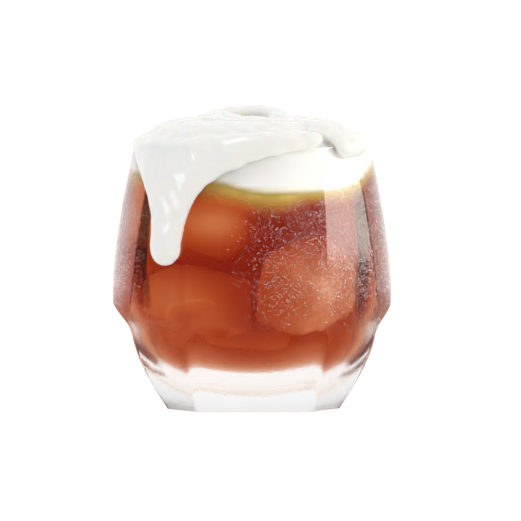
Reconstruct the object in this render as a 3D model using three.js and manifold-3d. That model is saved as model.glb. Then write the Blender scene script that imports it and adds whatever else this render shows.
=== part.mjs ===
// Iced rose tea under a thick cream, in its pressed-glass tumbler.
// Millimetres, +Z up. The origin is the centre of the foot. The side with the long drip faces -Y.
// Angles are in degrees round the glass, from the front (-Y) towards the right (+X).
import * as THREE from "three";
import { mergeVertices } from "three/addons/utils/BufferGeometryUtils.js";
import { ParametricGeometry } from "three/addons/geometries/ParametricGeometry.js";
import Module from "manifold-3d";

const wasm = await Module();
wasm.setup();

// The tumbler: a round barrel over a square, tapering foot, with four flat cuts up its corners
const RIM_Z = 86.5;
const RIM_RADIUS = 38.6;
const RIM_WALL = 2.2;
const BELLY_Z = 38;
const BELLY_RADIUS = 46;
const BARREL_CURVE = 1.5;
const LEDGE_Z = 27;
const LEDGE_SIDE = 39.9;
const LEDGE_CUT = 43.6;
const FOOT_SIDE = 28;
const FOOT_CUT = 32.6;
const SIDE_CURVE = 1.6;
const CUT_CURVE = 1.5;
const CUT_DEPTH_BELLY = 1.6;
const CUT_DEPTH_RIM = 0.85;

// The hollow: a deep round bowl below, a wall that closes in a little above
const BOWL_FLOOR = 11.2;
const BOWL_Z = 50;
const BOWL_RADIUS = 40.4;
const BOWL_FULLNESS = 2.6;
const WALL_CURVE = 1.6;

// The drink: it stands lowest under the cream at the front right, and highest at the far right
const TEA_Z = 76.2;
const TEA_DIP = { depth: 4.8, at: 24, spread: 40 };
const TEA_RISE = { height: 2.6, at: 90, spread: 18 };

// The cream: a low dome, a little hollow in the middle, that laps the rim, apart from two stretches
// where the glass stays bare
const DOME_HEIGHT = 8.3;
const DOME_EDGE = 37.5;
const DOME_FULLNESS = 6;
const DOME_DIP = { depth: 2.4, radius: 11 };
const BARE_EDGE = 36;
const BARE_DROP = 0.5;
const BARE_STRETCHES = [{ at: 36, spread: 10 }, { at: 88, spread: 17 }];

// The cream that hangs outside: a wide sheet with a long drip, a lobe at the right, two laps behind
const SHEET = { from: -126, to: 36, at: -44, drop: 16.5, left: 31, right: 40 };
const SHEET_TURN = { from: -62, to: 8 };
const SHEET_RISE = { left: 2.2, right: 5.4 };
const SHEET_THICK = { left: 3.2, right: 4.6 };
const SHEET_INSET = { left: 1.8, right: 2.5 };
const DRIP = { at: -41.6, top: 5, length: 38.2, wide: 5.8, thick: 3.3 };
const FUNNEL = { wide: 7.5, drop: 12, fade: 8 };
const LOBE = { at: 53, drop: 4, wide: 10, thick: 2.8 };
const LOBE_TOP = [{ radius: 20, rise: 5.8 }, { radius: 31, rise: 4.9 }, { radius: 39, rise: 1.2 }];
const BACK_LAPS = [
  { at: 141, reach: 34, drop: 3.2 },
  { at: 206, reach: 42, drop: 5.4 },
];
const BACK_LAP = { rise: 1.6, inset: 0.8, thick: 2.4 };

// The ribbon of cream that fell last, in a coil round the hollow of the dome, highest at the back.
// Its middle line goes through these angles, radii and rises above the rim.
const COIL = { wide: 3.5, thick: 1.9 };
const COIL_STOPS = [
  [70, 24, 4.6],
  [30, 18.5, 5.6],
  [-20, 15, 6.3],
  [-65, 13.6, 7.2],
  [-110, 13.2, 8.4],
  [-150, 13, 9.4],
  [-190, 12.4, 9.9],
  [-225, 11, 9.2],
  [-265, 9, 7.6],
  [-310, 6.5, 6.4],
];

// Touching solids keep a gap. Before they are cut to it, the cream runs into the wall of the glass,
// and the folds are cut by a core, which keeps what lies over the rim out of the drink.
const GAP = 0.3;
const INTO_WALL = 0.6;
const CORE_INTO_WALL = 1;
const CORE_TOP = 83.5;

const ROUND_SEGMENTS = 60;

const radians = THREE.MathUtils.degToRad;
const bell = (offset, spread, power = 2) => Math.exp(-((Math.abs(offset) / spread) ** power));

function around(angle, radius, z) {
  const turn = radians(angle);
  return new THREE.Vector3(radius * Math.sin(turn), -radius * Math.cos(turn), z);
}

// The outline of the round barrel. Below the belly the foot's flat faces lie inside it.
function barrelRadius(z) {
  const climb = Math.max(0, z - BELLY_Z) / (RIM_Z - BELLY_Z);
  return BELLY_RADIUS - (BELLY_RADIUS - RIM_RADIUS) * climb ** BARREL_CURVE;
}

// The distance from the axis to the four flat cuts
function cutDistance(z) {
  if (z < LEDGE_Z) return LEDGE_CUT - (LEDGE_CUT - FOOT_CUT) * (1 - z / LEDGE_Z) ** CUT_CURVE;
  const climb = (z - BELLY_Z) / (RIM_Z - BELLY_Z);
  const depth = THREE.MathUtils.lerp(CUT_DEPTH_BELLY, CUT_DEPTH_RIM, Math.max(0, climb));
  const start = Math.min(1, (z - LEDGE_Z) / (BELLY_Z - LEDGE_Z));
  return THREE.MathUtils.lerp(LEDGE_CUT, barrelRadius(z) - depth, start);
}

// The distance from the axis to the four wide faces of the foot, which end above in a 45 degree ledge
function sideDistance(z) {
  if (z > LEDGE_Z) return LEDGE_SIDE + z - LEDGE_Z;
  return LEDGE_SIDE - (LEDGE_SIDE - FOOT_SIDE) * (1 - z / LEDGE_Z) ** SIDE_CURVE;
}

// The outer wall above the foot, at any angle
function wallRadius(angle, z) {
  const nearestCut = 90 * Math.floor(angle / 90) + 45;
  return Math.min(barrelRadius(z), cutDistance(z) / Math.cos(radians(angle - nearestCut)));
}

// The bowl's wall a quarter turn from its widest place down to its floor, drawn in by a gap: [radius, z]
function bowlPoint(turn, gap) {
  const across = Math.max(0, Math.cos(turn)) ** (2 / BOWL_FULLNESS);
  const down = Math.max(0, Math.sin(turn)) ** (2 / BOWL_FULLNESS);
  return [(BOWL_RADIUS - gap) * across, BOWL_Z - (BOWL_Z - BOWL_FLOOR - gap) * down];
}

function hollowRadius(z) {
  if (z < BOWL_Z) {
    const down = Math.min(1, (BOWL_Z - z) / (BOWL_Z - BOWL_FLOOR));
    return BOWL_RADIUS * (1 - down ** BOWL_FULLNESS) ** (1 / BOWL_FULLNESS);
  }
  const rimInside = RIM_RADIUS - RIM_WALL;
  return BOWL_RADIUS - (BOWL_RADIUS - rimInside) * ((z - BOWL_Z) / (RIM_Z - BOWL_Z)) ** WALL_CURVE;
}

// The height at which the drink meets the cream: even in the middle, uneven out at the wall
function drinkHeight(angle, share) {
  const wrapped = THREE.MathUtils.euclideanModulo(angle + 180, 360) - 180;
  const dip = TEA_DIP.depth * bell(wrapped - TEA_DIP.at, TEA_DIP.spread, 4);
  const rise = TEA_RISE.height * bell(wrapped - TEA_RISE.at, TEA_RISE.spread);
  return TEA_Z + (rise - dip) * share ** 2;
}

// A closed geometry as a solid: seams and poles are merged, and flattened triangles left out
function solid(geometry) {
  const bare = new THREE.BufferGeometry();
  bare.setAttribute("position", geometry.getAttribute("position"));
  bare.setIndex(geometry.getIndex());
  const merged = mergeVertices(bare);
  const index = merged.getIndex().array;
  const triVerts = [];
  for (let i = 0; i < index.length; i += 3) {
    const [a, b, c] = [index[i], index[i + 1], index[i + 2]];
    if (a !== b && b !== c && c !== a) triVerts.push(a, b, c);
  }
  return new wasm.Manifold(new wasm.Mesh({
    numProp: 3,
    vertProperties: Float32Array.from(merged.getAttribute("position").array),
    triVerts: Uint32Array.from(triVerts),
  }));
}

// A profile of [radius, z] pairs, from the axis and back to it, turned about Z
function turned(profile, segments, start = 0) {
  const points = profile.map(([radius, z]) => new THREE.Vector2(radius, z));
  const geometry = new THREE.LatheGeometry(points, segments, start);
  return solid(geometry.rotateX(Math.PI / 2));
}

function steps(from, to, count) {
  return Array.from({ length: count + 1 }, (_, i) => THREE.MathUtils.lerp(from, to, i / count));
}

// A four-sided block, past the glass at both ends, whose faces lie at distance(z) from the axis
function fourSided(distance, start) {
  const past = 3;
  const foot = steps(0, LEDGE_Z, 6);
  const ledge = steps(LEDGE_Z, BELLY_Z, 2).slice(1, -1);
  const body = steps(BELLY_Z, RIM_Z + past, 6);
  const heights = [-past, ...foot, ...ledge, ...body];
  const corner = heights.map((z) => [distance(z) * Math.SQRT2, z]);
  return turned([[0, heights[0]], ...corner, [0, heights.at(-1)]], 4, start);
}

// The tumbler, made larger all over by a clearance when another piece is cut to fit it
function tumbler(clearance) {
  const rimCentre = RIM_RADIUS - RIM_WALL / 2;
  const rimRound = RIM_WALL / 2 + clearance;
  const rimBase = RIM_Z - RIM_WALL / 2;
  const outside = steps(BELLY_Z, rimBase, 8).slice(0, -1).map((z) => [barrelRadius(z) + clearance, z]);
  const rim = steps(0, Math.PI, 6).map((turn) => [
    rimCentre + rimRound * Math.cos(turn),
    rimBase + rimRound * Math.sin(turn),
  ]);
  const wall = steps(rimBase, BOWL_Z, 6).slice(1).map((z) => [hollowRadius(z) - clearance, z]);
  const bowl = steps(0, Math.PI / 2, 8).slice(1, -1).map((turn) => bowlPoint(turn, clearance));
  const outer = [[0, -clearance], [BELLY_RADIUS + clearance, -clearance], ...outside, ...rim];
  const inner = [...wall, ...bowl, [0, BOWL_FLOOR + clearance]];
  const blank = turned([...outer, ...inner], ROUND_SEGMENTS);
  const cuts = fourSided((z) => cutDistance(z) + clearance, 0);
  const sides = fourSided((z) => sideDistance(z) + clearance, Math.PI / 4);
  return blank.intersect(cuts).intersect(sides);
}

// A solid whose outline changes round the glass: outline(angle, row) gives [radius, z]
function moulded(outline, rows) {
  const surface = (u, v, target) => {
    const angle = 360 * (u % 1);
    const [radius, z] = outline(angle, v * rows);
    target.copy(around(angle, radius, z));
  };
  return solid(new ParametricGeometry(surface, ROUND_SEGMENTS, rows));
}

// The drink fills the hollow from its floor to the cream, less the gap that touching solids keep
function drink() {
  const bowlRows = 8;
  const wallRows = 4;
  const topRows = 4;
  const outline = (angle, row) => {
    if (row <= bowlRows) {
      return bowlPoint((Math.PI / 2) * (1 - row / bowlRows), GAP);
    }
    const edge = drinkHeight(angle, 1);
    if (row <= bowlRows + wallRows) {
      const z = THREE.MathUtils.lerp(BOWL_Z, edge, (row - bowlRows) / wallRows);
      return [hollowRadius(z) - GAP, z];
    }
    const share = 1 - (row - bowlRows - wallRows) / topRows;
    return [(hollowRadius(edge) - GAP) * share, drinkHeight(angle, share)];
  };
  return moulded(outline, bowlRows + wallRows + topRows);
}

// The cream inside the glass and its low dome
function creamBody() {
  const underRows = 4;
  const wallRows = 3;
  const domeRows = 8;
  const crowding = 1.6;
  const outline = (angle, row) => {
    const underside = drinkHeight(angle, 1) + GAP;
    if (row <= underRows) {
      const share = row / underRows;
      return [(hollowRadius(underside) + INTO_WALL) * share, drinkHeight(angle, share) + GAP];
    }
    const wallTop = RIM_Z - RIM_WALL;
    if (row <= underRows + wallRows) {
      const z = THREE.MathUtils.lerp(underside, wallTop, (row - underRows) / wallRows);
      return [hollowRadius(z) + INTO_WALL, z];
    }
    const bareness = BARE_STRETCHES.map(({ at, spread }) => bell(angle - at, spread, 4));
    const bare = Math.min(1, bareness.reduce((sum, part) => sum + part));
    const edge = THREE.MathUtils.lerp(DOME_EDGE, BARE_EDGE, bare);
    const share = 1 - ((row - underRows - wallRows - 1) / (domeRows - 1)) ** crowding;
    const dip = DOME_DIP.depth * bell(DOME_EDGE * share, DOME_DIP.radius, 4);
    const lift = DOME_HEIGHT * (1 - share ** DOME_FULLNESS) - dip;
    return [edge * share, RIM_Z - BARE_DROP * bare * share + lift];
  };
  return moulded(outline, underRows + wallRows + domeRows);
}

// A roll of cream along a path: an oval section that faces outwards and closes at both ends
function roll({ path, facing, thick, wide, endShare, stations, sides }) {
  const centreLine = new THREE.Curve();
  centreLine.getPoint = path;
  const surface = (u, v, target) => {
    const t = (1 - Math.cos(Math.PI * v)) / 2;
    const close = closing(t, endShare);
    const turn = 2 * Math.PI * (u % 1);
    const out = facing(t);
    const side = centreLine.getTangent(t).cross(out).normalize();
    target.copy(path(t));
    target.addScaledVector(out, thick(t) * close * Math.cos(turn));
    target.addScaledVector(side, wide(t) * close * Math.sin(turn));
  };
  return solid(new ParametricGeometry(surface, sides, stations));
}

// How much of its full size a roll has at t along it, as it rounds off towards both ends
function closing(t, [startShare, endShare]) {
  const fromEnd = Math.min(1, t / startShare, (1 - t) / endShare);
  return Math.sqrt(Math.max(0, 1 - (1 - fromEnd) ** 2));
}

// A roll of cream that clings to the wall. place(t) gives [angle, z] along its middle line.
// Its width runs up the wall when it is upright, and otherwise round the wall.
function wallRoll({ place, upright, thick, wide, inset, endShare, stations, sides }) {
  const surface = (u, v, target) => {
    const t = (1 - Math.cos(Math.PI * v)) / 2;
    const close = closing(t, endShare);
    const turn = 2 * Math.PI * (u % 1);
    const out = thick(t) * close * Math.cos(turn) - inset(t);
    const along = -wide(t) * close * Math.sin(turn);
    const [angle, z] = place(t);
    const height = upright ? z + along : z;
    const bearing = upright ? angle : angle + THREE.MathUtils.radToDeg(along / wallRadius(angle, z));
    target.copy(around(bearing, wallRadius(bearing, Math.min(height, RIM_Z)) + out, height));
  };
  return solid(new ParametricGeometry(surface, sides, stations));
}

// Cream that hangs over the rim between two angles, from rise(angle) above it to drop(angle) below
function overRim({ from, to, drop, rise, inset, thick, endShare, stations }) {
  const angleAt = (t) => THREE.MathUtils.lerp(from, to, t);
  return wallRoll({
    place: (t) => [angleAt(t), RIM_Z + (rise(angleAt(t)) - drop(angleAt(t))) / 2],
    upright: true,
    thick: (t) => thick(angleAt(t)),
    wide: (t) => (drop(angleAt(t)) + rise(angleAt(t))) / 2,
    inset: (t) => inset(angleAt(t)),
    endShare,
    stations,
    sides: 14,
  });
}

function sheet() {
  const between = ({ left, right }) => (angle) => (
    THREE.MathUtils.lerp(left, right, THREE.MathUtils.smoothstep(angle, SHEET_TURN.from, SHEET_TURN.to))
  );
  return overRim({
    ...SHEET,
    drop: (angle) => SHEET.drop * bell(angle - SHEET.at, angle < SHEET.at ? SHEET.left : SHEET.right),
    rise: between(SHEET_RISE),
    thick: between(SHEET_THICK),
    inset: between(SHEET_INSET),
    endShare: [0.16, 0.04],
    stations: 40,
  });
}

function drip() {
  const depthAt = (t) => THREE.MathUtils.lerp(DRIP.top, DRIP.length, t);
  return wallRoll({
    place: (t) => [DRIP.at, RIM_Z - depthAt(t)],
    upright: false,
    thick: (t) => DRIP.thick * (0.8 + 0.2 * t),
    wide: (t) => DRIP.wide + FUNNEL.wide * Math.exp((FUNNEL.drop - depthAt(t)) / FUNNEL.fade),
    inset: () => 0,
    endShare: [0.1, 0.17],
    stations: 24,
    sides: 16,
  });
}

// The fold at the right, which lies on the dome and droops over the rim
function lobe() {
  const out = around(LOBE.at, 1, 0);
  const end = RIM_Z - LOBE.drop;
  const route = new THREE.CatmullRomCurve3([
    ...LOBE_TOP.map(({ radius, rise }) => around(LOBE.at, radius, RIM_Z + rise)),
    around(LOBE.at, wallRadius(LOBE.at, end) + GAP, end),
  ]);
  const up = new THREE.Vector3(0, 0, 1);
  return roll({
    path: (t) => route.getPoint(t),
    facing: (t) => up.clone().lerp(out, THREE.MathUtils.smoothstep(t, 0.3, 0.95)).normalize(),
    thick: () => LOBE.thick,
    wide: (t) => LOBE.wide * (1 - 0.25 * t),
    endShare: [0.3, 0.22],
    stations: 16,
    sides: 14,
  });
}

function coil() {
  const up = new THREE.Vector3(0, 0, 1);
  const stops = COIL_STOPS.map(([angle, radius, rise]) => around(angle, radius, RIM_Z + rise));
  const route = new THREE.CatmullRomCurve3(stops);
  return roll({
    path: (t) => route.getPoint(t),
    facing: () => up,
    thick: () => COIL.thick,
    wide: () => COIL.wide,
    endShare: [0.08, 0.08],
    stations: 44,
    sides: 10,
  });
}

function cream() {
  const laps = BACK_LAPS.map(({ at, reach, drop }) => overRim({
    from: at - reach,
    to: at + reach,
    drop: (angle) => drop * bell(angle - at, reach * 0.6),
    rise: () => BACK_LAP.rise,
    inset: () => BACK_LAP.inset,
    thick: () => BACK_LAP.thick,
    endShare: [0.15, 0.15],
    stations: 16,
  }));
  const folds = [sheet(), drip(), lobe(), coil(), ...laps].reduce((joined, fold) => joined.add(fold));
  const wallOfCore = steps(BELLY_Z, CORE_TOP, 6).map((z) => [hollowRadius(z) + CORE_INTO_WALL, z]);
  const core = turned([[0, BELLY_Z], ...wallOfCore, [0, CORE_TOP]], ROUND_SEGMENTS);
  const parts = folds.subtract(core).add(creamBody()).subtract(tumbler(GAP)).decompose();
  return parts.reduce((largest, part) => (part.volume() > largest.volume() ? part : largest));
}

function mesh(name, shape, material) {
  const { numProp, vertProperties, triVerts } = shape.getMesh();
  const geometry = new THREE.BufferGeometry();
  geometry.setAttribute("position", new THREE.BufferAttribute(vertProperties, numProp));
  geometry.setIndex(new THREE.BufferAttribute(triVerts, 1));
  geometry.computeVertexNormals();
  const piece = new THREE.Mesh(geometry, material);
  piece.name = name;
  return piece;
}

const clearGlass = new THREE.MeshStandardMaterial({
  color: 0xe9edee,
  roughness: 0.05,
  transparent: true,
  opacity: 0.35,
});
const iceTea = new THREE.MeshStandardMaterial({ color: 0x8f2a17, roughness: 0.1 });
const sweetCream = new THREE.MeshStandardMaterial({ color: 0xf3f1ec, roughness: 0.35 });

const group = new THREE.Group();
group.add(mesh("glass", tumbler(0), clearGlass));
group.add(mesh("tea", drink(), iceTea));
group.add(mesh("cream", cream(), sweetCream));

export default group;
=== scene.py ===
import bmesh
import bpy
import numpy as np
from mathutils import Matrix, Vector


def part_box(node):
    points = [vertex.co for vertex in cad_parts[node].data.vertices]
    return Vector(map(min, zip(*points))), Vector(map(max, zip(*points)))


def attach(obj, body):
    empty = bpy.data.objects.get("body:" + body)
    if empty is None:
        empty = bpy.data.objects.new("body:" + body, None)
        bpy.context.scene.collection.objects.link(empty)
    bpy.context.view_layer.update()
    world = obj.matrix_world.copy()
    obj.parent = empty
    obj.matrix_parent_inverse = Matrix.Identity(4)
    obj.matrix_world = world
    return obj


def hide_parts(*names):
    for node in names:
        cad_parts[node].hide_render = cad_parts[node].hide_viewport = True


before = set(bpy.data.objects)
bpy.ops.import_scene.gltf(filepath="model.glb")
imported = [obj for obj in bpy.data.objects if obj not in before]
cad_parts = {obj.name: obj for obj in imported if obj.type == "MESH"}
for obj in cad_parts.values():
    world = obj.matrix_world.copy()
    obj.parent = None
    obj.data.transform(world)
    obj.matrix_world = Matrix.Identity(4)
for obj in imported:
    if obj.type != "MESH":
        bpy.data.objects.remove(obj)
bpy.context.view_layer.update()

# The tumbler: soda-lime glass, pressed in one mould and fire-polished. A round barrel stands on a
# square, tapering foot that is solid inside, and four flat cuts run up its corners. Where two faces
# meet, the mould leaves a soft crease.
MM = 0.001
glass_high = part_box("glass")[1]
RIM_Z = glass_high.z / MM
BELLY_RADIUS = glass_high.x / MM
RIM_RADIUS = 38.6
RIM_WALL = 2.2
BELLY_Z = 38
BARREL_CURVE = 1.5
LEDGE_Z = 27
LEDGE_SIDE = 39.9
LEDGE_CUT = 43.6
FOOT_SIDE = 28
FOOT_CUT = 32.6
SIDE_CURVE = 1.6
CUT_CURVE = 1.5
CUT_DEPTH_BELLY = 1.6
CUT_DEPTH_RIM = 0.85
BOWL_FLOOR = 11.2
BOWL_Z = 50
BOWL_RADIUS = 40.4
BOWL_FULLNESS = 2.6
WALL_CURVE = 1.6
FOOT_ROUND = 0.8
CUT_CREASE = 0.16
FOOT_CREASE = 0.7
LEDGE_CREASE = 2.4
FRONT_CREASE = {"foot": 7, "ledge": 5}


def lerp(a, b, t):
    return a + (b - a) * t


def bell(offset, spread, power=2):
    return np.exp(-((np.abs(offset) / spread) ** power))


def smoothstep(value, low, high):
    t = np.clip((value - low) / (high - low), 0, 1)
    return t * t * (3 - 2 * t)


def smooth_min(a, b, width):
    """The lower of two heights, with the corner between them rounded off."""
    return np.minimum(a, b) - np.maximum(width - np.abs(a - b), 0) ** 2 / (4 * width)


def point(angle, radius, z):
    """Points at angles, radii and heights, as an array with x, y and z in its last axis."""
    turn = np.radians(angle)
    x, y, height = np.broadcast_arrays(radius * np.sin(turn), -radius * np.cos(turn), z)
    return np.stack([x, y, height], -1)


def barrel_radius(z):
    climb = np.maximum(0, z - BELLY_Z) / (RIM_Z - BELLY_Z)
    return BELLY_RADIUS - (BELLY_RADIUS - RIM_RADIUS) * climb**BARREL_CURVE


def cut_distance(z):
    fall = np.clip(1 - z / LEDGE_Z, 0, 1)
    foot = LEDGE_CUT - (LEDGE_CUT - FOOT_CUT) * fall**CUT_CURVE
    climb = np.maximum(0, z - BELLY_Z) / (RIM_Z - BELLY_Z)
    full_cut = barrel_radius(z) - lerp(CUT_DEPTH_BELLY, CUT_DEPTH_RIM, climb)
    start = np.clip((z - LEDGE_Z) / (BELLY_Z - LEDGE_Z), 0, 1)
    return np.where(z < LEDGE_Z, foot, lerp(LEDGE_CUT, full_cut, start))


def side_distance(z, crease):
    fall = np.clip(1 - z / LEDGE_Z, 0, 1)
    foot = LEDGE_SIDE - (LEDGE_SIDE - FOOT_SIDE) * fall**SIDE_CURVE
    return -smooth_min(-foot, -(LEDGE_SIDE + z - LEDGE_Z), crease)


def wall_radius(angle, z):
    """The outer wall of the tumbler at any angle and height, its creases rounded, most of all in the
    middle of the front and the back."""
    to_cut = np.radians((angle % 90) - 45)
    to_side = np.radians(((angle + 45) % 90) - 45)
    front = bell((angle + 90) % 180 - 90, 30, 4)
    barrel = smooth_min(barrel_radius(z), cut_distance(z) / np.cos(to_cut), CUT_CREASE)
    side = side_distance(z, lerp(LEDGE_CREASE, FRONT_CREASE["ledge"], front))
    return smooth_min(barrel, side / np.cos(to_side), lerp(FOOT_CREASE, FRONT_CREASE["foot"], front))


def bowl_ring(angles, turn, offset):
    """A ring of the bowl, a quarter turn from its widest place down to its floor."""
    radius = (BOWL_RADIUS + offset) * np.cos(turn) ** (2 / BOWL_FULLNESS)
    depth = (BOWL_Z - BOWL_FLOOR + offset) * np.sin(turn) ** (2 / BOWL_FULLNESS)
    return point(angles, radius, BOWL_Z - depth)


def hollow_radius(z):
    depth = np.clip((BOWL_Z - z) / (BOWL_Z - BOWL_FLOOR), 0, 1)
    bowl = BOWL_RADIUS * (1 - depth**BOWL_FULLNESS) ** (1 / BOWL_FULLNESS)
    climb = np.maximum(0, z - BOWL_Z) / (RIM_Z - BOWL_Z)
    wall = BOWL_RADIUS - (BOWL_RADIUS - RIM_RADIUS + RIM_WALL) * climb**WALL_CURVE
    return np.where(z < BOWL_Z, bowl, wall)


def closed_mesh(name, shells, smooth_angle=None):
    """An object in metres from closed shells. A shell is a stack of rings of points; its first and
    last ring are each drawn together into one point."""
    bm = bmesh.new()
    for rings in shells:
        first = bm.verts.new(rings[0].mean(0) * MM)
        last = bm.verts.new(rings[-1].mean(0) * MM)
        rows = [[bm.verts.new(p) for p in ring * MM] for ring in rings[1:-1]]
        sides = len(rows[0])
        for j in range(sides):
            k = (j + 1) % sides
            bm.faces.new((first, rows[0][k], rows[0][j]))
            bm.faces.new((last, rows[-1][j], rows[-1][k]))
            for low, high in zip(rows, rows[1:]):
                bm.faces.new((low[j], low[k], high[k], high[j]))
    mesh = bpy.data.meshes.new(name)
    bm.to_mesh(mesh)
    bm.free()
    mesh.shade_smooth()
    if smooth_angle is not None:
        mesh.set_sharp_from_angle(angle=np.radians(smooth_angle))
    piece = bpy.data.objects.new(name, mesh)
    bpy.context.scene.collection.objects.link(piece)
    return piece


def tumbler_rings(inset, angles):
    """The tumbler's surface from the middle of its foot, over the rim, to the bowl's floor. An inset
    draws the whole surface in."""
    rim_base = RIM_Z - RIM_WALL / 2
    heights = np.concatenate([
        np.linspace(FOOT_ROUND, 23, 22)[1:],
        np.linspace(23, 36, 32)[1:],
        np.linspace(36, rim_base, 34)[1:],
    ])
    edge = wall_radius(angles, FOOT_ROUND) - inset
    under = [point(angles, edge * share - FOOT_ROUND * share, inset) for share in (0, 0.3, 0.6, 0.85, 1)]
    turns = np.linspace(-np.pi / 2, 0, 6)[1:]
    foot = [
        point(angles, edge - FOOT_ROUND * (1 - np.cos(t)), FOOT_ROUND * (1 + np.sin(t)) + inset * (t < 0))
        for t in turns
    ]
    outside = [point(angles, wall_radius(angles, z) - inset, z) for z in heights]
    outer_rim = wall_radius(angles, rim_base) - inset
    inner_rim = hollow_radius(rim_base) + inset
    middle = (outer_rim + inner_rim) / 2
    half = (outer_rim - inner_rim) / 2
    rim = [
        point(angles, middle + half * np.cos(t), rim_base + (RIM_WALL / 2 - inset) * np.sin(t))
        for t in np.linspace(0, np.pi, 15)[1:]
    ]
    wall = [point(angles, hollow_radius(z) + inset, z) for z in np.linspace(rim_base, BOWL_Z, 24)[1:]]
    bowl = [bowl_ring(angles, t, inset) for t in np.linspace(0, np.pi / 2, 26)[1:]]
    return under + foot + outside + rim + wall + bowl


def creased_angles():
    """Angles round the tumbler, close together where the creases run."""
    quarter = np.concatenate([
        np.linspace(0, 26, 22)[:-1],
        np.linspace(26, 36, 24)[:-1],
        np.linspace(36, 54, 12)[:-1],
        np.linspace(54, 64, 24)[:-1],
        np.linspace(64, 90, 22)[:-1],
    ])
    return np.concatenate([quarter + turn for turn in (0, 90, 180, 270)])


def linear(code):
    """A colour in sRGB hex as linear red, green, blue and alpha."""
    parts = [int(code[i:i + 2], 16) / 255 for i in (1, 3, 5)]
    return [c / 12.92 if c <= 0.04045 else ((c + 0.055) / 1.055) ** 2.4 for c in parts] + [1.0]


def add_node(tree, kind, values=(), links=(), **settings):
    """Adds a node to a tree with its settings, its input values and the links into its inputs."""
    node = tree.nodes.new(kind)
    for name, value in settings.items():
        setattr(node, name, value)
    for name, value in dict(values).items():
        node.inputs[name].default_value = value
    for name, source in dict(links).items():
        tree.links.new(source, node.inputs[name])
    return node


def new_material(name):
    """An empty node material, and its tree."""
    material = bpy.data.materials.new(name)
    material.use_nodes = True
    material.node_tree.nodes.clear()
    return material, material.node_tree


def ramp(tree, source, stops):
    """A colour ramp with stops of place and grey level, read as a value."""
    node = add_node(tree, "ShaderNodeValToRGB", links={"Fac": source})
    elements = node.color_ramp.elements
    while len(elements) < len(stops):
        elements.new(0.5)
    for element, (place, level) in zip(elements, stops):
        element.position = place
        element.color = (level, level, level, 1)
    return node.outputs["Color"]


def attribute_value(tree, name):
    """The value that a mesh keeps under a name, between its points."""
    return add_node(tree, "ShaderNodeAttribute", attribute_name=name).outputs["Fac"]


def mixed(tree, share, first, second):
    """A surface that is the first where the share is 0 and the second where it is 1."""
    return add_node(tree, "ShaderNodeMixShader", {}, {0: share, 1: first, 2: second}).outputs[0]


def diffuse(tree, code):
    return add_node(tree, "ShaderNodeBsdfDiffuse", {"Color": linear(code)}).outputs[0]


def clear_surface(tree, ior, roughness=0.0, links=()):
    """A colourless surface that lets light through and bends it."""
    return add_node(
        tree, "ShaderNodeBsdfPrincipled",
        {"Base Color": linear("#FFFFFF"), "Roughness": roughness, "IOR": ior, "Transmission Weight": 1.0},
        links,
    ).outputs[0]


def lamps_pass(tree, surface):
    """Lets the light of lamps through a clear surface, so that it reaches what is behind."""
    ray = add_node(tree, "ShaderNodeLightPath").outputs["Is Shadow Ray"]
    return mixed(tree, ray, surface, add_node(tree, "ShaderNodeBsdfTransparent").outputs[0])


def set_attribute(mesh, name, values):
    """Keeps a value for each point of a mesh under a name."""
    attribute = mesh.attributes.new(name, "FLOAT", "POINT")
    attribute.data.foreach_set("value", np.asarray(values, float).ravel())


def places_on(mesh):
    """The angles, radii and heights of a mesh's points."""
    x, y, z = np.array([v.co for v in mesh.vertices]).T / MM
    return np.degrees(np.arctan2(x, -y)), np.hypot(x, y), z


# Fire-polished soda-lime glass, clear, with a breath of condensation that softens what is seen through
# it at the right and at the far left, and leaves the front left clear. Its inner face is wet with tea.
# Its underside is ground, so it scatters the light that comes up through it.
GLASS_IOR = 1.52
WATER_IOR = 1.33
MIST_ROUGHNESS = 0.16
GRAIN_DEPTH = 0.06
glass_material, tree = new_material("fire_polished_glass")
coords = add_node(tree, "ShaderNodeTexCoord").outputs["Object"]
breath = add_node(tree, "ShaderNodeTexNoise", {"Scale": 45, "Detail": 3}, {"Vector": coords})
patchy = ramp(tree, breath.outputs["Fac"], [(0.35, 0.55), (0.7, 1)])
mist = add_node(
    tree, "ShaderNodeMath", {}, {0: attribute_value(tree, "mist"), 1: patchy}, operation="MULTIPLY"
).outputs[0]
roughness = add_node(
    tree, "ShaderNodeMapRange", {"To Min": 0.0, "To Max": MIST_ROUGHNESS}, {"Value": mist}, clamp=False
).outputs[0]
grain = add_node(tree, "ShaderNodeTexNoise", {"Scale": 1500, "Detail": 1}, {"Vector": coords})
grainy = add_node(
    tree, "ShaderNodeBump", {"Distance": GRAIN_DEPTH * MM},
    {"Height": grain.outputs["Fac"], "Strength": mist},
).outputs[0]
dry = clear_surface(tree, GLASS_IOR, links={"Roughness": roughness, "Normal": grainy})
wetted = clear_surface(tree, GLASS_IOR / WATER_IOR)
clear = mixed(tree, attribute_value(tree, "wet"), dry, wetted)
hazy = mixed(tree, attribute_value(tree, "haze"), clear, diffuse(tree, "#FFEDE8"))
ground = add_node(tree, "ShaderNodeBsdfTranslucent", {"Color": linear("#FFFFFF")}).outputs[0]
finish = mixed(tree, attribute_value(tree, "ground"), hazy, ground)
add_node(tree, "ShaderNodeOutputMaterial", links={"Surface": lamps_pass(tree, finish)})


def mist_at(angle, z):
    """How much condensation the glass has, from 0 to 1, at an angle and a height."""
    clear_front = smoothstep(angle, -66, -46) * (1 - smoothstep(angle, -14, 24))
    band = 1 - smoothstep(z, 76, 82)
    foot = 0.85 * (1 - smoothstep(z, 27, 36)) + 1.3 * bell(z - 30, 3.5)
    thin = lerp(0.5, 1, smoothstep(np.abs(angle), 24, 34)) * (1 - 0.35 * bell(angle - 44, 14, 4))
    return np.maximum((1 - clear_front) * thin * band, foot)


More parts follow.
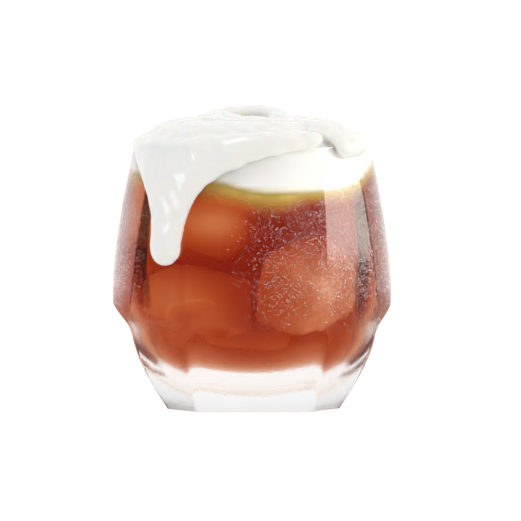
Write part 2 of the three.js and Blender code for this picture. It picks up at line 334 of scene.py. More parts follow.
def haze_at(angle, z):
    """How much the droplets too fine to be made whiten the glass, from 0 to 1."""
    sides = smoothstep(np.abs(angle), 60, 96) * (1 - smoothstep(np.abs(angle), 100, 125))
    return 0.44 * sides * smoothstep(z, 26, 36) * (1 - smoothstep(z, 74, 84))


glass = closed_mesh("tumbler", [tumbler_rings(0, creased_angles())], smooth_angle=35)
glass.data.materials.append(glass_material)
angles, radii, z = places_on(glass.data)
outer = radii > hollow_radius(z) + 0.5
set_attribute(glass.data, "mist", mist_at(angles, z) * outer)
set_attribute(glass.data, "haze", haze_at(angles, z) * outer)
set_attribute(glass.data, "wet", ~outer & (z > BOWL_FLOOR - 0.1) & (z < RIM_Z - 6))
set_attribute(glass.data, "ground", z < 0.1)
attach(glass, "root")
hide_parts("glass")

# The tea: strong black tea with rose, clear but deeply coloured, poured over ice. It wets the glass,
# so its surface is laid just inside the wall. Ice cubes are sunk in it, each a hollow in the tea that
# takes no colour out of the light.
TEA_Z = 76.2
TEA_DIP = {"depth": 4.8, "at": 24, "spread": 40}
TEA_RISE = {"height": 2.6, "at": 90, "spread": 18}
INTO_WALL = 0.15
TEA_INTO_CREAM = 0.3
ICE = [
    {"at": (-9.5, -13, 59.5), "size": (18, 18, 17), "turn": (20, -30, 35), "frost": 0.03},
    {"at": (-10, 15, 57), "size": (20, 20, 20), "turn": (25, 8, -15), "frost": 0.0},
    {"at": (-16, -5, 35.5), "size": (26, 24, 14), "turn": (-18, 16, 30), "frost": 0.1},
    {"at": (15.5, -13, 41), "size": (23, 22, 21), "turn": (22, 28, -34), "frost": 0.4},
    {"at": (-2, 10, 25.5), "size": (32, 13, 13), "turn": (6, 4, -8), "frost": 0.0},
    {"at": (-26, 5, 62), "size": (12, 24, 21), "turn": (4, 6, -30), "frost": 0.02},
]
ICE_ROWS = 40
ICE_SIDES = 56
ICE_ROUNDNESS = 0.4


def drink_height(angle, share):
    """The height of the drink, at an angle and at a share of the way from the middle to the wall."""
    wrapped = (angle + 180) % 360 - 180
    dip = TEA_DIP["depth"] * bell(wrapped - TEA_DIP["at"], TEA_DIP["spread"], 4)
    rise = TEA_RISE["height"] * bell(wrapped - TEA_RISE["at"], TEA_RISE["spread"])
    return TEA_Z + (rise - dip) * share**2


def drink_rings(into_wall, lower):
    """The drink's surface, from the bowl's floor up the wall and in over the top."""
    angles = np.arange(0, 360, 2.5)
    edge = drink_height(angles, 1) - lower
    bowl = [bowl_ring(angles, t, into_wall) for t in np.linspace(np.pi / 2, 0, 30)]
    rows = [lerp(BOWL_Z, edge, t) for t in np.linspace(0, 1, 20)[1:]]
    wall = [point(angles, hollow_radius(z) + into_wall, z) for z in rows]
    top = [
        point(angles, (hollow_radius(edge) + into_wall) * share, drink_height(angles, share) - lower)
        for share in np.linspace(1, 0, 14)[1:]
    ]
    return bowl + wall + top


def turned_about(points, degrees):
    """Points turned about X, then Y, then Z."""
    for axis, angle in enumerate(np.radians(degrees)):
        a, b = [(1, 2), (2, 0), (0, 1)][axis]
        turned = points.copy()
        turned[..., a] = np.cos(angle) * points[..., a] - np.sin(angle) * points[..., b]
        turned[..., b] = np.sin(angle) * points[..., a] + np.cos(angle) * points[..., b]
        points = turned
    return points


def ice_rings(at, size, turn):
    """A cube with well-rounded, slightly melted corners. Its faces bulge a little."""
    lat = np.linspace(-np.pi / 2, np.pi / 2, ICE_ROWS)[:, None]
    lon = np.linspace(0, 2 * np.pi, ICE_SIDES, endpoint=False)[None, :]
    power = lambda v: np.sign(v) * np.abs(v) ** ICE_ROUNDNESS
    x = power(np.cos(lat)) * power(np.cos(lon))
    y = power(np.cos(lat)) * power(np.sin(lon))
    z = power(np.sin(lat)) + 0 * lon
    points = np.stack([x, y, z], -1) * np.array(size) / 2
    melt = 0.35 * np.sin(points[..., 0] * 0.55 + at[0]) * np.sin(points[..., 1] * 0.5 + at[1])
    points[..., 2] += melt * np.cos(lat)
    return list(turned_about(points, turn) + np.array(at))


# Brewed tea. It takes out blue within a few millimetres and green within a few centimetres, and lets red
# through. Its own surface bends no light, because the wet face of the glass has done so. Towards the ice
# the bend is slight, because ice has nearly the same IOR as tea.
TEA_SURFACE_IOR = 1.0
ICE_IOR = 1.01
ICE_ROUGHNESS = 0.35
TEA_STRENGTH = 110.0
tea_material, tree = new_material("brewed_tea")
coords = add_node(tree, "ShaderNodeTexCoord").outputs["Object"]
clouds = add_node(
    tree, "ShaderNodeTexNoise", {"Scale": 110, "Detail": 4, "Distortion": 0.6}, {"Vector": coords}
)
cloudy = ramp(tree, clouds.outputs["Fac"], [(0.35, 0.25), (0.65, 1)])
frost = add_node(
    tree, "ShaderNodeMath", {}, {0: attribute_value(tree, "frost"), 1: cloudy}, operation="MULTIPLY"
).outputs[0]
at_ice = mixed(tree, frost, clear_surface(tree, ICE_IOR, ICE_ROUGHNESS), diffuse(tree, "#FFFFFF"))
surface = mixed(tree, attribute_value(tree, "ice"), clear_surface(tree, TEA_SURFACE_IOR), at_ice)
colour = add_node(
    tree, "ShaderNodeVolumeAbsorption", {"Color": linear("#ECB771"), "Density": TEA_STRENGTH}
).outputs[0]
add_node(
    tree, "ShaderNodeOutputMaterial", links={"Surface": lamps_pass(tree, surface), "Volume": colour}
)

ice_shells = [[ring[::-1] for ring in ice_rings(cube["at"], cube["size"], cube["turn"])] for cube in ICE]
tea = closed_mesh("iced_tea", [drink_rings(INTO_WALL, 0)] + ice_shells, smooth_angle=50)
tea.data.materials.append(tea_material)
points_a_cube = ICE_SIDES * (ICE_ROWS - 2) + 2
drink_points = len(tea.data.vertices) - points_a_cube * len(ICE)
set_attribute(tea.data, "ice", np.arange(len(tea.data.vertices)) >= drink_points)
cube_frost = np.repeat([cube["frost"] for cube in ICE], points_a_cube)
set_attribute(tea.data, "frost", np.concatenate([np.zeros(drink_points), cube_frost]))
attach(tea, "root")
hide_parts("tea")

# The cream: a thick, glossy foam of milk and cream, spooned on until it stood over the brim. It sits
# on the drink, laps the rim, and runs down outside at the front left in a wide sheet that ends in one
# long drip. The ribbon that fell last lies in a coil on top.
DOME_HEIGHT = 8.3
DOME_EDGE = 37.5
DOME_FULLNESS = 6
BARE_EDGE = 36
BARE_DROP = 0.5
BARE_STRETCHES = [{"at": 36, "spread": 10}, {"at": 88, "spread": 17}]
SHEET = {"from": -126, "to": 36, "at": -44, "drop": 16.5, "left": 31, "right": 40}
SHEET_TURN = {"from": -62, "to": 8}
SHEET_RISE = {"left": 2.2, "right": 5.4}
SHEET_THICK = {"left": 3.2, "right": 4.6}
SHEET_INSET = {"left": 1.8, "right": 2.5}
DRIP = {"at": -41.6, "top": 5, "length": 38.2, "wide": 5.8, "thick": 3.3}
FUNNEL = {"wide": 7.5, "drop": 12, "fade": 8}
LOBE = {"at": 53, "drop": 4, "wide": 10, "thick": 2.8}
LOBE_TOP = [(20, 5.8), (31, 4.9), (39.0, 1.2)]
BACK_LAPS = [{"at": 141, "reach": 34, "drop": 3.2}, {"at": 206, "reach": 42, "drop": 5.4}]
BACK_LAP = {"rise": 1.6, "inset": 0.8, "thick": 2.4}
COIL_STOPS = [
    (70, 24, 4.6), (30, 18.5, 5.6), (-20, 15, 6.3), (-65, 13.6, 7.2), (-110, 13.2, 8.4), (-150, 13, 9.4),
    (-190, 12.4, 9.9), (-225, 11, 9.2), (-265, 9, 7.6), (-310, 6.5, 6.4),
]
COIL = {"wide": 3.5, "thick": 1.9}
DOME_DIP = {"depth": 0.5, "radius": 11}
RIDGES = [
    {"stops": [(-88, 19.5, 7.4), (-50, 20, 7.6), (-10, 20.5, 7.3), (25, 19.5, 7.5), (62, 16, 7.6)],
     "wide": 1.9, "thick": 1.5},
    {"stops": [(-70, 27.5, 5.6), (-38, 27, 6.2), (-5, 26, 6.6), (22, 25, 6.5), (44, 22.5, 6.6)],
     "wide": 2.0, "thick": 1.4},
    {"stops": [(-112, 21, 7.2), (-140, 22, 7.2), (-172, 21, 7.5), (-205, 18, 7.6)],
     "wide": 2.2, "thick": 1.5},
    {"stops": [(118, 27, 5.4), (98, 26, 6.2), (78, 24, 6.4), (62, 25, 5.8)], "wide": 2.4, "thick": 1.6},
    {"stops": [(-150, 7, 7.9), (-100, 8, 7.6), (-50, 8, 7.2), (0, 8, 7.2), (50, 7, 7.4)],
     "wide": 4.2, "thick": 1.9},
]
UNEVENNESS = 0.2
SHOULDER_SOFTNESS = 3
SETTLING_ROUNDS = 8
VOXEL = 0.5


def closing(t, start_share, end_share):
    """How much of its full size a roll has at t along it, as it rounds off towards both ends."""
    from_end = np.minimum(1, np.minimum(t / start_share, (1 - t) / end_share))
    return np.sqrt(np.maximum(0, 1 - (1 - from_end) ** 2))


def stations(count):
    return (1 - np.cos(np.pi * np.linspace(0, 1, count))) / 2


def roll_rings(path, facing, thick, wide, ends, count, sides=40):
    """A roll of cream along a path: an oval section that faces outwards and closes at both ends."""
    t = stations(count)
    middle = np.array([path(s) for s in t])
    ahead = np.array([path(min(s + 0.002, 1)) - path(max(s - 0.002, 0)) for s in t])
    out = np.array([facing(s) for s in t])
    side = np.cross(ahead, out)
    side /= np.linalg.norm(side, axis=1)[:, None]
    close = closing(t, *ends)
    turn = np.linspace(0, 2 * np.pi, sides, endpoint=False)
    thicks = np.array([thick(s) for s in t]) * close
    wides = np.array([wide(s) for s in t]) * close
    across = out[:, None] * (thicks[:, None] * np.cos(turn))[..., None]
    along = side[:, None] * (wides[:, None] * np.sin(turn))[..., None]
    return list(middle[:, None] + across + along)


def wall_roll_rings(place, upright, thick, wide, inset, ends, count, sides=40):
    """A roll of cream that clings to the wall. place(t) gives an angle and a height on its middle
    line. Its width runs up the wall when it is upright, and otherwise round the wall."""
    turn = np.linspace(0, 2 * np.pi, sides, endpoint=False)
    rings = []
    for t in stations(count):
        close = closing(t, *ends)
        out = thick(t) * close * np.cos(turn) - inset(t)
        along = -wide(t) * close * np.sin(turn)
        angle, z = place(t)
        height = z + along if upright else z + 0 * along
        bearing = angle + 0 * along if upright else angle + np.degrees(along / wall_radius(angle, z))
        rings.append(point(bearing, wall_radius(bearing, np.minimum(height, RIM_Z)) + out, height))
    return rings


def over_rim_rings(start, end, drop, rise, inset, thick, ends, count):
    """Cream that hangs over the rim between two angles, from a rise above it to a drop below."""
    at = lambda t: lerp(start, end, t)
    return wall_roll_rings(
        lambda t: (at(t), RIM_Z + (rise(at(t)) - drop(at(t))) / 2), True,
        lambda t: thick(at(t)), lambda t: (drop(at(t)) + rise(at(t))) / 2, lambda t: inset(at(t)),
        ends, count,
    )


def sheet_rings():
    def between(ends):
        return lambda angle: lerp(
            ends["left"], ends["right"], smoothstep(angle, SHEET_TURN["from"], SHEET_TURN["to"])
        )

    def drop(angle):
        spread = np.where(angle < SHEET["at"], SHEET["left"], SHEET["right"])
        return SHEET["drop"] * bell(angle - SHEET["at"], spread)

    return over_rim_rings(
        SHEET["from"], SHEET["to"], drop, between(SHEET_RISE), between(SHEET_INSET),
        between(SHEET_THICK), (0.16, 0.04), 220,
    )


def drip_rings():
    depth = lambda t: lerp(DRIP["top"], DRIP["length"], t)
    return wall_roll_rings(
        lambda t: (DRIP["at"], RIM_Z - depth(t)), False,
        lambda t: DRIP["thick"] * (0.8 + 0.2 * t),
        lambda t: DRIP["wide"] + FUNNEL["wide"] * np.exp((FUNNEL["drop"] - depth(t)) / FUNNEL["fade"]),
        lambda t: 0.0, (0.1, 0.17), 90,
    )


def through(points):
    """A smooth path through points, from t = 0 to t = 1 (a uniform Catmull-Rom curve)."""
    points = np.array(points)
    knots = np.vstack([2 * points[0] - points[1], points, 2 * points[-1] - points[-2]])

    def path(t):
        s = t * (len(points) - 1)
        i = min(int(s), len(points) - 2)
        u = s - i
        a, b, c, d = knots[i:i + 4]
        square, cube = 2 * a - 5 * b + 4 * c - d, 3 * b - a - 3 * c + d
        return 0.5 * (2 * b + (c - a) * u + square * u**2 + cube * u**3)

    return path


def lobe_rings():
    end = RIM_Z - LOBE["drop"]
    out = point(LOBE["at"], 1, 0)
    up = np.array([0, 0, 1])
    stops = [point(LOBE["at"], radius, RIM_Z + rise) for radius, rise in LOBE_TOP]
    stops.append(point(LOBE["at"], wall_radius(LOBE["at"], end) + 0.3, end))

    def facing(t):
        way = lerp(up, out, smoothstep(t, 0.3, 0.95))
        return way / np.linalg.norm(way)

    return roll_rings(
        through(stops), facing, lambda t: LOBE["thick"], lambda t: LOBE["wide"] * (1 - 0.25 * t),
        (0.3, 0.22), 60,
    )


def coil_rings():
    path = through([point(angle, radius, RIM_Z + rise) for angle, radius, rise in COIL_STOPS])
    return roll_rings(
        path, lambda t: np.array([0, 0, 1]), lambda t: COIL["thick"], lambda t: COIL["wide"],
        (0.08, 0.08), 160,
    )


def ridge_rings(stops, wide, thick):
    path = through([point(angle, radius, RIM_Z + rise) for angle, radius, rise in stops])
    return roll_rings(path, lambda t: np.array([0, 0, 1]), lambda t: thick, lambda t: wide, (0.3, 0.3), 90)


def lap_rings(at, reach, drop):
    return over_rim_rings(
        at - reach, at + reach, lambda angle: drop * bell(angle - at, reach * 0.6),
        lambda angle: BACK_LAP["rise"], lambda angle: BACK_LAP["inset"], lambda angle: BACK_LAP["thick"],
        (0.15, 0.15), 70,
    )


def body_rings():
    """The cream inside the glass and its low dome."""
    angles = np.arange(0, 360, 2.0)
    underside = drink_height(angles, 1) - TEA_INTO_CREAM
    into_wall = hollow_radius(underside) + 0.8
    under = [
        point(angles, into_wall * share, drink_height(angles, share) - TEA_INTO_CREAM)
        for share in np.linspace(0, 1, 14)
    ]
    rows = [lerp(underside, RIM_Z - RIM_WALL, t) for t in np.linspace(0, 1, 16)[1:]]
    wall = [point(angles, hollow_radius(z) + 0.8, z) for z in rows]
    wrapped = (angles + 180) % 360 - 180
    bare = np.minimum(1, sum(bell(wrapped - s["at"], s["spread"], 4) for s in BARE_STRETCHES))
    edge = lerp(DOME_EDGE, BARE_EDGE, bare)
    dome = []
    for step in np.linspace(0, 1, 30):
        share = 1 - step**1.6
        dip = DOME_DIP["depth"] * bell(DOME_EDGE * share, DOME_DIP["radius"], 4)
        lift = DOME_HEIGHT * (1 - share**DOME_FULLNESS) - dip
        dome.append(point(angles, edge * share, RIM_Z - BARE_DROP * bare * share + lift))
    return under + wall + dome


def apply_modifiers(piece):
    """Turns a piece with modifiers into a plain mesh."""
    graph = bpy.context.evaluated_depsgraph_get()
    mesh = bpy.data.meshes.new_from_object(piece.evaluated_get(graph))
    piece.modifiers.clear()
    piece.data = mesh


def softened(mesh, places, share, distance):
    """Places with their creases melted over a distance, as far as the share at each of them says."""
    pairs = np.empty(2 * len(mesh.edges), int)
    mesh.edges.foreach_get("vertices", pairs)
    a, b = pairs.reshape(-1, 2).T
    neighbours = np.bincount(a, minlength=len(places)) + np.bincount(b, minlength=len(places))
    for _ in range(int(2 * (distance / VOXEL) ** 2)):
        sums = [
            np.bincount(a, places[b, k], len(places)) + np.bincount(b, places[a, k], len(places))
            for k in range(3)
        ]
        mean = np.stack(sums, -1) / neighbours[:, None]
        places = places + 0.5 * share[:, None] * (mean - places)
    return places


def cut_by(piece, cutter):
    """Takes the space of one closed mesh out of another."""
    cut = piece.modifiers.new("cut", "BOOLEAN")
    cut.operation = "DIFFERENCE"
    cut.solver = "MANIFOLD"
    cut.object = cutter
    apply_modifiers(piece)
    bpy.data.objects.remove(cutter)


def keep_largest(piece):
    """Leaves only the largest connected part of a mesh."""
    bm = bmesh.new()
    bm.from_mesh(piece.data)
    left = set(bm.verts)
    parts = []
    while left:
        part, edge = set(), {next(iter(left))}
        while edge:
            part |= edge
            edge = {e.other_vert(v) for v in edge for e in v.link_edges} - part
        parts.append(part)
        left -= part
    parts.sort(key=len)
    bmesh.ops.delete(bm, geom=[v for part in parts[:-1] for v in part], context="VERTS")
    bm.to_mesh(piece.data)
    bm.free()


def shoulder_share(angle, radius, z):
    """1 where the cream goes over the rim at the left in one smooth curve, and 0 elsewhere."""
    outside = smoothstep(radius, 38.8, 39.6)
    high = smoothstep(z, RIM_Z - 1 - 10 * outside, RIM_Z + 1 - 8 * outside)
    left = smoothstep(angle, -150, -125) * (1 - smoothstep(angle, -8, 22))
    return high * smoothstep(radius, 21, 28) * left


def swell(x, y, z):
    """The slow swell of the cream's surface, from crossing waves about 10 mm long."""
    slow = np.sin(0.62 * x + 0.35 * z + 1.2 * np.sin(0.21 * y)) * np.sin(0.48 * y + 0.2 * x)
    quick = np.sin(0.9 * z + 0.5 * x + 1.1) * np.sin(0.33 * x - 0.7 * y)
    return slow + 0.6 * quick


shells = [body_rings(), sheet_rings(), drip_rings(), lobe_rings(), coil_rings()]
shells += [lap_rings(**lap) for lap in BACK_LAPS]
shells += [ridge_rings(**ridge) for ridge in RIDGES]
cream = closed_mesh("cream_foam", shells)
remesh = cream.modifiers.new("merge", "REMESH")
remesh.mode = "VOXEL"
remesh.voxel_size = VOXEL * MM
apply_modifiers(cream)
settle = cream.modifiers.new("settle", "SMOOTH")
settle.factor = 0.5
settle.iterations = SETTLING_ROUNDS
apply_modifiers(cream)
places = np.array([v.co for v in cream.data.vertices]) / MM
normals = np.array([v.normal for v in cream.data.vertices])
places = softened(cream.data, places, shoulder_share(*places_on(cream.data)), SHOULDER_SOFTNESS)
places += normals * (UNEVENNESS * swell(*places.T))[:, None]
cream.data.vertices.foreach_set("co", (places * MM).ravel())
cut_by(cream, closed_mesh("drink_space", [drink_rings(0.5, TEA_INTO_CREAM)]))
cut_by(cream, closed_mesh("glass_space", [tumbler_rings(INTO_WALL, np.arange(0, 360, 1.5))]))
keep_largest(cream)
cream.data.shade_smooth()
cream.data.set_sharp_from_angle(angle=np.radians(50))

# The sockets of a node that mixes colours, by number, because several of them share a name.
MIX_A, MIX_B, MIX_RESULT = 6, 7, 2


def mixed_colour(tree, share, first, second):
    """The first colour where the share is 0 and the second where it is 1. Each is a code or an output."""
    values, links = {}, {0: share}
    for place, colour in ((MIX_A, first), (MIX_B, second)):
        if isinstance(colour, str):
            values[place] = linear(colour)
        else:
            links[place] = colour
    return add_node(tree, "ShaderNodeMix", values, links, data_type="RGBA").outputs[MIX_RESULT]


# Thick milk foam: bright, slightly warm, with light that travels a few millimetres inside it, and a wet
# gloss on top.
# Inside the glass it is painted brighter and warmer than outside, as painted light for what reaches it
# through the glass.
cream_material, tree = new_material("sweet_cream_foam")
# Painted light: the cream inside the glass gets a brighter, warmer colour (#FFFDF7) than the cream outside
# it (#EFEEEA).
painted_light_tone = mixed_colour(tree, attribute_value(tree, "inside"), "#EFEEEA", "#FFFDF7")
soaked = mixed_colour(tree, attribute_value(tree, "soak"), painted_light_tone, "#B5A24E")
foam = add_node(
    tree, "ShaderNodeBsdfPrincipled",
    {
        "Roughness": 0.24, "IOR": 1.4,
        "Subsurface Weight": 1.0, "Subsurface Radius": (1.0, 0.85, 0.65), "Subsurface Scale": 1.2 * MM,
    },
    {"Base Color": soaked},
)
add_node(tree, "ShaderNodeOutputMaterial", links={"Surface": foam.outputs[0]})
cream.data.materials.clear()
cream.data.materials.append(cream_material)
angles, radii, z = places_on(cream.data)
in_glass = (radii < hollow_radius(z) + 0.4) & (z < RIM_Z - 1.5)
above_tea = z - drink_height(angles, radii / hollow_radius(z))
# Marks the cream inside the glass, which is painted brighter and warmer as painted light.
set_attribute(cream.data, "inside", in_glass)
set_attribute(cream.data, "soak", in_glass * (1 - smoothstep(above_tea, 0.1, 2.2)))
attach(cream, "root")
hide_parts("cream")

# The clouded tea: where cream has begun to mix with the tea below it, a thin yellowish to amber veil
# hangs along the wall and fades out downwards. It is deepest at the left of the front.
CLOUD_DEPTH = 9.5
CLOUD_INTO_CREAM = 0.4
CLOUD_FROM_WALL = 0.05


def cloud_depth(angle):
    wrapped = (angle + 180) % 360 - 180
    return CLOUD_DEPTH * (0.55 + 0.45 * bell(wrapped + 12, 32) + 0.12 * np.sin(np.radians(wrapped * 9)))


def cloud_rings():
    """The clouded tea's surface, from its flat underside up the wall and in over the top."""
    angles = np.arange(0, 360, 2.0)
    top = drink_height(angles, 1) + CLOUD_INTO_CREAM
    bottom = top - cloud_depth(angles)
    under = [point(angles, (hollow_radius(bottom) - 0.3) * s, bottom) for s in (0, 0.5, 0.98)]
    levels = [lerp(bottom, top, t) for t in np.linspace(0, 1, 12)]
    wall = [point(angles, hollow_radius(z) - CLOUD_FROM_WALL, z) for z in levels]
    edge = hollow_radius(top) - CLOUD_FROM_WALL
    over = [
        point(angles, edge * s, drink_height(angles, s) + CLOUD_INTO_CREAM) for s in (0.97, 0.6, 0.3, 0)
    ]
    return under + wall + over


cloud = closed_mesh("clouded_tea", [cloud_rings()], smooth_angle=50)
angles, radii, z = places_on(cloud.data)
below = drink_height(angles, 1) + CLOUD_INTO_CREAM - z
thin = smoothstep(below / cloud_depth(angles), 0, 1)
at_wall = radii > hollow_radius(z) - 0.4
set_attribute(cloud.data, "cloud", at_wall * (1 - thin))

# Milk just stirred into tea: an amber that turns to a yellowish green close to the cream.
cloud_material, tree = new_material("milky_tea")
coords = add_node(tree, "ShaderNodeTexCoord").outputs["Object"]
wisps = add_node(tree, "ShaderNodeTexNoise", {"Scale": 160, "Detail": 3}, {"Vector": coords})
near_cream = attribute_value(tree, "cloud")
hue = mixed_colour(tree, near_cream, "#B45A1E", "#C0AE58")
milky = add_node(tree, "ShaderNodeBsdfDiffuse", {}, {"Color": hue}).outputs[0]
wispy = ramp(tree, wisps.outputs["Fac"], [(0.3, 0.7), (0.7, 1)])
cover = add_node(tree, "ShaderNodeMath", {}, {0: near_cream, 1: wispy}, operation="MULTIPLY").outputs[0]
veil = mixed(tree, cover, add_node(tree, "ShaderNodeBsdfTransparent").outputs[0], milky)
add_node(tree, "ShaderNodeOutputMaterial", links={"Surface": lamps_pass(tree, veil)})
cloud.data.materials.append(cloud_material)
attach(cloud, "root")
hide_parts("tea")

# The condensation: fine droplets of water all over the cold outside of the glass, apart from its clear
# front left. They are close together at the right, and sparser at the back. Each sits half in the wall.
DROPLET_RADIUS = {"least": 0.06, "greatest": 0.2}
DROPLET_FLATNESS = 0.6
DROPLET_DISTANCE = 0.34
DROPLETS_A_SQUARE_METRE = 1.6e7
SMALL_DROPLETS = 1.6
PATCHES = {
    "condensation_front_right": {"from": -15, "to": 45, "seed": 3},
    "condensation_right": {"from": 45, "to": 85, "seed": 5},
    "condensation_far_right": {"from": 85, "to": 130, "seed": 6},
    "condensation_left": {"from": -90, "to": -50, "seed": 7},
    "condensation_far_left": {"from": -130, "to": -90, "seed": 8},
    "condensation_back": {"from": 130, "to": 230, "seed": 9},
}


def dew_at(angle, z):
    """The share of droplets that is there, at an angle and a height."""
    right = lerp(0.6, 1, smoothstep(angle, 20, 34)) * smoothstep(angle, -14, 12)
    right = right * (1 - 0.75 * smoothstep(angle, 118, 140))
    left = smoothstep(-angle, 52, 68) * (1 - 0.75 * smoothstep(-angle, 118, 140))
    top = lerp(71, 79, smoothstep(angle, 24, 34))
    return (right + left) * smoothstep(z, 27, 42) * (1 - smoothstep(z, top - 7, top))


def socket(tree, name, kind, way="INPUT"):
    """Adds a named input or output to a tree of geometry nodes, and gives its identifier."""
    return tree.interface.new_socket(name, in_out=way, socket_type=kind).identifier


droplets = bpy.data.node_groups.new("droplets", "GeometryNodeTree")
socket(droplets, "Wall", "NodeSocketGeometry")
DISTANCE_SOCKET = socket(droplets, "Least Distance", "NodeSocketFloat")
SMALL_SOCKET = socket(droplets, "Least Radius", "NodeSocketFloat")
LARGE_SOCKET = socket(droplets, "Greatest Radius", "NodeSocketFloat")
FLATNESS_SOCKET = socket(droplets, "Flatness", "NodeSocketFloat")
SEED_SOCKET = socket(droplets, "Seed", "NodeSocketInt")
MATERIAL_SOCKET = socket(droplets, "Material", "NodeSocketMaterial")
socket(droplets, "Droplets", "NodeSocketGeometry", "OUTPUT")
given = add_node(droplets, "NodeGroupInput").outputs
dew = add_node(droplets, "GeometryNodeInputNamedAttribute", {"Name": "dew"}, data_type="FLOAT")
spots = add_node(
    droplets, "GeometryNodeDistributePointsOnFaces", {"Density Max": DROPLETS_A_SQUARE_METRE},
    {"Mesh": given["Wall"], "Distance Min": given["Least Distance"],
     "Density Factor": dew.outputs["Attribute"], "Seed": given["Seed"]},
    distribute_method="POISSON",
)
chance = add_node(droplets, "FunctionNodeRandomValue", {}, {"Seed": given["Seed"]}, data_type="FLOAT")
skewed = add_node(
    droplets, "ShaderNodeMath", {1: SMALL_DROPLETS}, {0: chance.outputs[1]}, operation="POWER"
)
radius = add_node(
    droplets, "ShaderNodeMapRange", {},
    {"Value": skewed.outputs[0], "To Min": given["Least Radius"], "To Max": given["Greatest Radius"]},
)
depth = add_node(
    droplets, "ShaderNodeMath", {}, {0: radius.outputs[0], 1: given["Flatness"]}, operation="MULTIPLY"
)
size = add_node(
    droplets, "ShaderNodeCombineXYZ",
    links={"X": radius.outputs[0], "Y": radius.outputs[0], "Z": depth.outputs[0]},
)
drop = add_node(droplets, "GeometryNodeMeshIcoSphere", {"Radius": 1.0, "Subdivisions": 1})
smooth_drop = add_node(droplets, "GeometryNodeSetShadeSmooth", {}, {"Geometry": drop.outputs["Mesh"]})
placed = add_node(
    droplets, "GeometryNodeInstanceOnPoints", {},
    {"Points": spots.outputs["Points"], "Instance": smooth_drop.outputs[0],
     "Rotation": spots.outputs["Rotation"], "Scale": size.outputs[0]},
)
real = add_node(droplets, "GeometryNodeRealizeInstances", {}, {"Geometry": placed.outputs[0]})
coated = add_node(
    droplets, "GeometryNodeSetMaterial", {}, {"Geometry": real.outputs[0], "Material": given["Material"]}
)
add_node(droplets, "NodeGroupOutput", {}, {"Droplets": coated.outputs[0]})

# Clean water, with painted highlights. A droplet gathers the light from all sides; a share of white diffuse
# mixed into each stands in for that as a painted glint, much larger in some than in others, and largest
# where they stand close together.
water_material, tree = new_material("condensed_water")
each = add_node(tree, "ShaderNodeNewGeometry").outputs["Random Per Island"]
painted_glint_most = add_node(
    tree, "ShaderNodeMapRange", {"From Min": 0.6, "From Max": 0.95, "To Min": 0.36, "To Max": 0.95},
    {"Value": attribute_value(tree, "dew")},
).outputs[0]
painted_glint_share = add_node(
    tree, "ShaderNodeMapRange", {"To Min": 0.03}, {"Value": each, "To Max": painted_glint_most}
).outputs[0]
# Painted highlight: white diffuse mixed into the clear water of each droplet.
droplet = mixed(tree, painted_glint_share, clear_surface(tree, WATER_IOR), diffuse(tree, "#FFFFFF"))
add_node(tree, "ShaderNodeOutputMaterial", links={"Surface": lamps_pass(tree, droplet)})

for name, patch_span in PATCHES.items():
    rows = np.arange(26, 81, 1.5)
    columns = np.arange(patch_span["from"], patch_span["to"] + 0.1, 2.5)
    bearing, z = np.meshgrid(columns, rows)
    wall = point(bearing, wall_radius(bearing, z), z).reshape(-1, 3) * MM
    wide = len(columns)
    quads = [
        (r * wide + c, r * wide + c + 1, (r + 1) * wide + c + 1, (r + 1) * wide + c)
        for r in range(len(rows) - 1) for c in range(wide - 1)
    ]
    patch_mesh = bpy.data.meshes.new(name)
    patch_mesh.from_pydata(wall.tolist(), [], quads)
    set_attribute(patch_mesh, "dew", dew_at((bearing + 180) % 360 - 180, z))
    patch = bpy.data.objects.new(name, patch_mesh)
    bpy.context.scene.collection.objects.link(patch)
    scatter = patch.modifiers.new("droplets", "NODES")
    scatter.node_group = droplets
    scatter[DISTANCE_SOCKET] = DROPLET_DISTANCE * MM
    scatter[SMALL_SOCKET] = DROPLET_RADIUS["least"] * MM
    scatter[LARGE_SOCKET] = DROPLET_RADIUS["greatest"] * MM
    scatter[FLATNESS_SOCKET] = DROPLET_FLATNESS
    scatter[SEED_SOCKET] = patch_span["seed"]
    scatter[MATERIAL_SOCKET] = water_material
    apply_modifiers(patch)
    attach(patch, "root")
    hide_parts("glass")

# The stage: a plain pale floor, and soft light from all sides like a studio's light tent, with softboxes
# at the right, above, at the left and in front. What the glass mirrors at the front is dark, and what is
# seen behind it is white.
FLOOR_RADIUS = 500
FLOOR_Z = -0.05
FLOOR_GLOW = 0.96
MIRRORED_FLOOR = 0.08
FILL = {"front": 0.53, "back": 0.96}
MIRRORED_TENT = {"front": 0.05, "back": 1.0}
SEEN_TENT = 1.03


def camera_or_transmitted(tree):
    """1 for what is seen directly or through glass."""
    ray = add_node(tree, "ShaderNodeLightPath")
    return add_node(
        tree, "ShaderNodeMath", {},
        {0: ray.outputs["Is Camera Ray"], 1: ray.outputs["Is Transmission Ray"]},
        operation="MAXIMUM",
    ).outputs[0]


def is_mirrored(tree):
    """1 for what a glossy surface mirrors."""
    ray = add_node(tree, "ShaderNodeLightPath")
    return add_node(
        tree, "ShaderNodeMath", {},
        {0: ray.outputs["Is Glossy Ray"], 1: ray.outputs["Is Transmission Ray"]},
        operation="SUBTRACT", use_clamp=True,
    ).outputs[0]


floor_material, tree = new_material("pale_floor")
paint = add_node(
    tree, "ShaderNodeBsdfPrincipled",
    {"Base Color": linear("#404040"), "Roughness": 0.9, "Emission Color": (1, 1, 1, 1),
     "Emission Strength": FLOOR_GLOW},
).outputs[0]
dark = add_node(tree, "ShaderNodeEmission", {"Color": (1, 1, 1, 1), "Strength": MIRRORED_FLOOR}).outputs[0]
painted = mixed(tree, is_mirrored(tree), paint, dark)
add_node(tree, "ShaderNodeOutputMaterial", links={"Surface": painted})
floor_mesh = bpy.data.meshes.new("floor")
edge = point(np.arange(0, 360, 5), FLOOR_RADIUS, FLOOR_Z) * MM
floor_mesh.from_pydata(edge.tolist(), [], [tuple(range(len(edge)))])
floor_mesh.materials.append(floor_material)
floor = bpy.data.objects.new("floor", floor_mesh)
bpy.context.scene.collection.objects.link(floor)

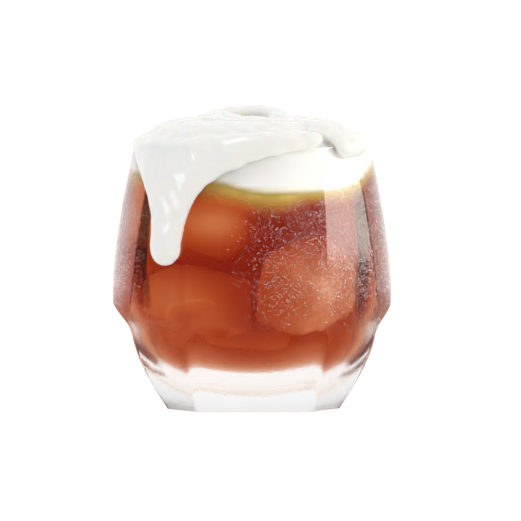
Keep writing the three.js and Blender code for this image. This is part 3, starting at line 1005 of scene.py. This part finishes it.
world = bpy.data.worlds.new("light_tent")
bpy.context.scene.world = world
world.use_nodes = True
tree = world.node_tree
tree.nodes.clear()
direction = add_node(tree, "ShaderNodeTexCoord").outputs["Generated"]
axes = add_node(tree, "ShaderNodeSeparateXYZ", links={"Vector": direction})
fill = add_node(
    tree, "ShaderNodeMapRange",
    {"From Min": -0.8, "From Max": 0.2, "To Min": FILL["front"], "To Max": FILL["back"]},
    {"Value": axes.outputs["Y"]},
)
mirrored = add_node(
    tree, "ShaderNodeMapRange",
    {"From Min": 0.15, "From Max": 0.85, "To Min": MIRRORED_TENT["front"], "To Max": MIRRORED_TENT["back"]},
    {"Value": axes.outputs["Y"]},
)
through_glass = add_node(
    tree, "ShaderNodeMix", {"B": SEEN_TENT},
    {"Factor": camera_or_transmitted(tree), "A": fill.outputs[0]},
)
strength = add_node(
    tree, "ShaderNodeMix", {},
    {"Factor": is_mirrored(tree), "A": through_glass.outputs[0], "B": mirrored.outputs[0]},
)
tent = add_node(
    tree, "ShaderNodeBackground", {"Color": (1, 1, 1, 1)}, {"Strength": strength.outputs[0]}
)
add_node(tree, "ShaderNodeOutputWorld", links={"Surface": tent.outputs[0]})


def softbox(name, at, towards, size, power, colour):
    """A square area light that faces a point."""
    light = bpy.data.lights.new(name, "AREA")
    light.shape = "SQUARE"
    light.size = size
    light.energy = power
    light.color = linear(colour)[:3]
    lamp = bpy.data.objects.new(name, light)
    lamp.location = at
    lamp.rotation_euler = (Vector(towards) - Vector(at)).to_track_quat("-Z", "Y").to_euler()
    bpy.context.scene.collection.objects.link(lamp)
    return lamp


softbox("softbox_right", (0.85, 0.03, 0.21), (0, 0, 0.05), 0.24, 1.15, "#FFF6EA")
softbox("softbox_top", (-0.3, -0.3, 0.95), (0, 0, 0.08), 0.18, 1.5, "#F8FAFF")
softbox("softbox_left", (-0.9, -0.25, 0.34), (0, 0, 0.08), 0.12, 0.8, "#F8FAFF")
front = softbox("softbox_front", (0.9, -1.0, 0.35), (0, 0, 0.06), 0.5, 4.4, "#FFFDF8")
front.visible_glossy = False

# The camera stands 1.5 m away, a little above the glass and a little to the left.
CAMERA_DISTANCE = 1.5
CAMERA_HEIGHT_ANGLE = 4.7
CAMERA_SIDE_ANGLE = -1.8
LOOK_RIGHT = 2.8
LOOK_UP = 47.3
PIXEL_AT_GLASS = 0.331
IMAGE_WIDTH = 521
camera_data = bpy.data.cameras.new("camera")
camera_data.sensor_width = 36
camera_data.lens = camera_data.sensor_width * CAMERA_DISTANCE / (IMAGE_WIDTH * PIXEL_AT_GLASS * MM)
camera = bpy.data.objects.new("camera", camera_data)
side = np.radians(CAMERA_SIDE_ANGLE)
height = np.radians(CAMERA_HEIGHT_ANGLE)
look_at = Vector((LOOK_RIGHT * np.cos(side), LOOK_RIGHT * np.sin(side), LOOK_UP)) * MM
away = Vector((np.sin(side) * np.cos(height), -np.cos(side) * np.cos(height), np.sin(height)))
camera.location = look_at + away * CAMERA_DISTANCE
camera.rotation_euler = (-away).to_track_quat("-Z", "Y").to_euler()
bpy.context.scene.collection.objects.link(camera)
bpy.context.scene.camera = camera

scene = bpy.context.scene
scene.view_settings.view_transform = "Standard"
scene.cycles.max_bounces = 32
scene.cycles.transmission_bounces = 32
scene.cycles.transparent_max_bounces = 32
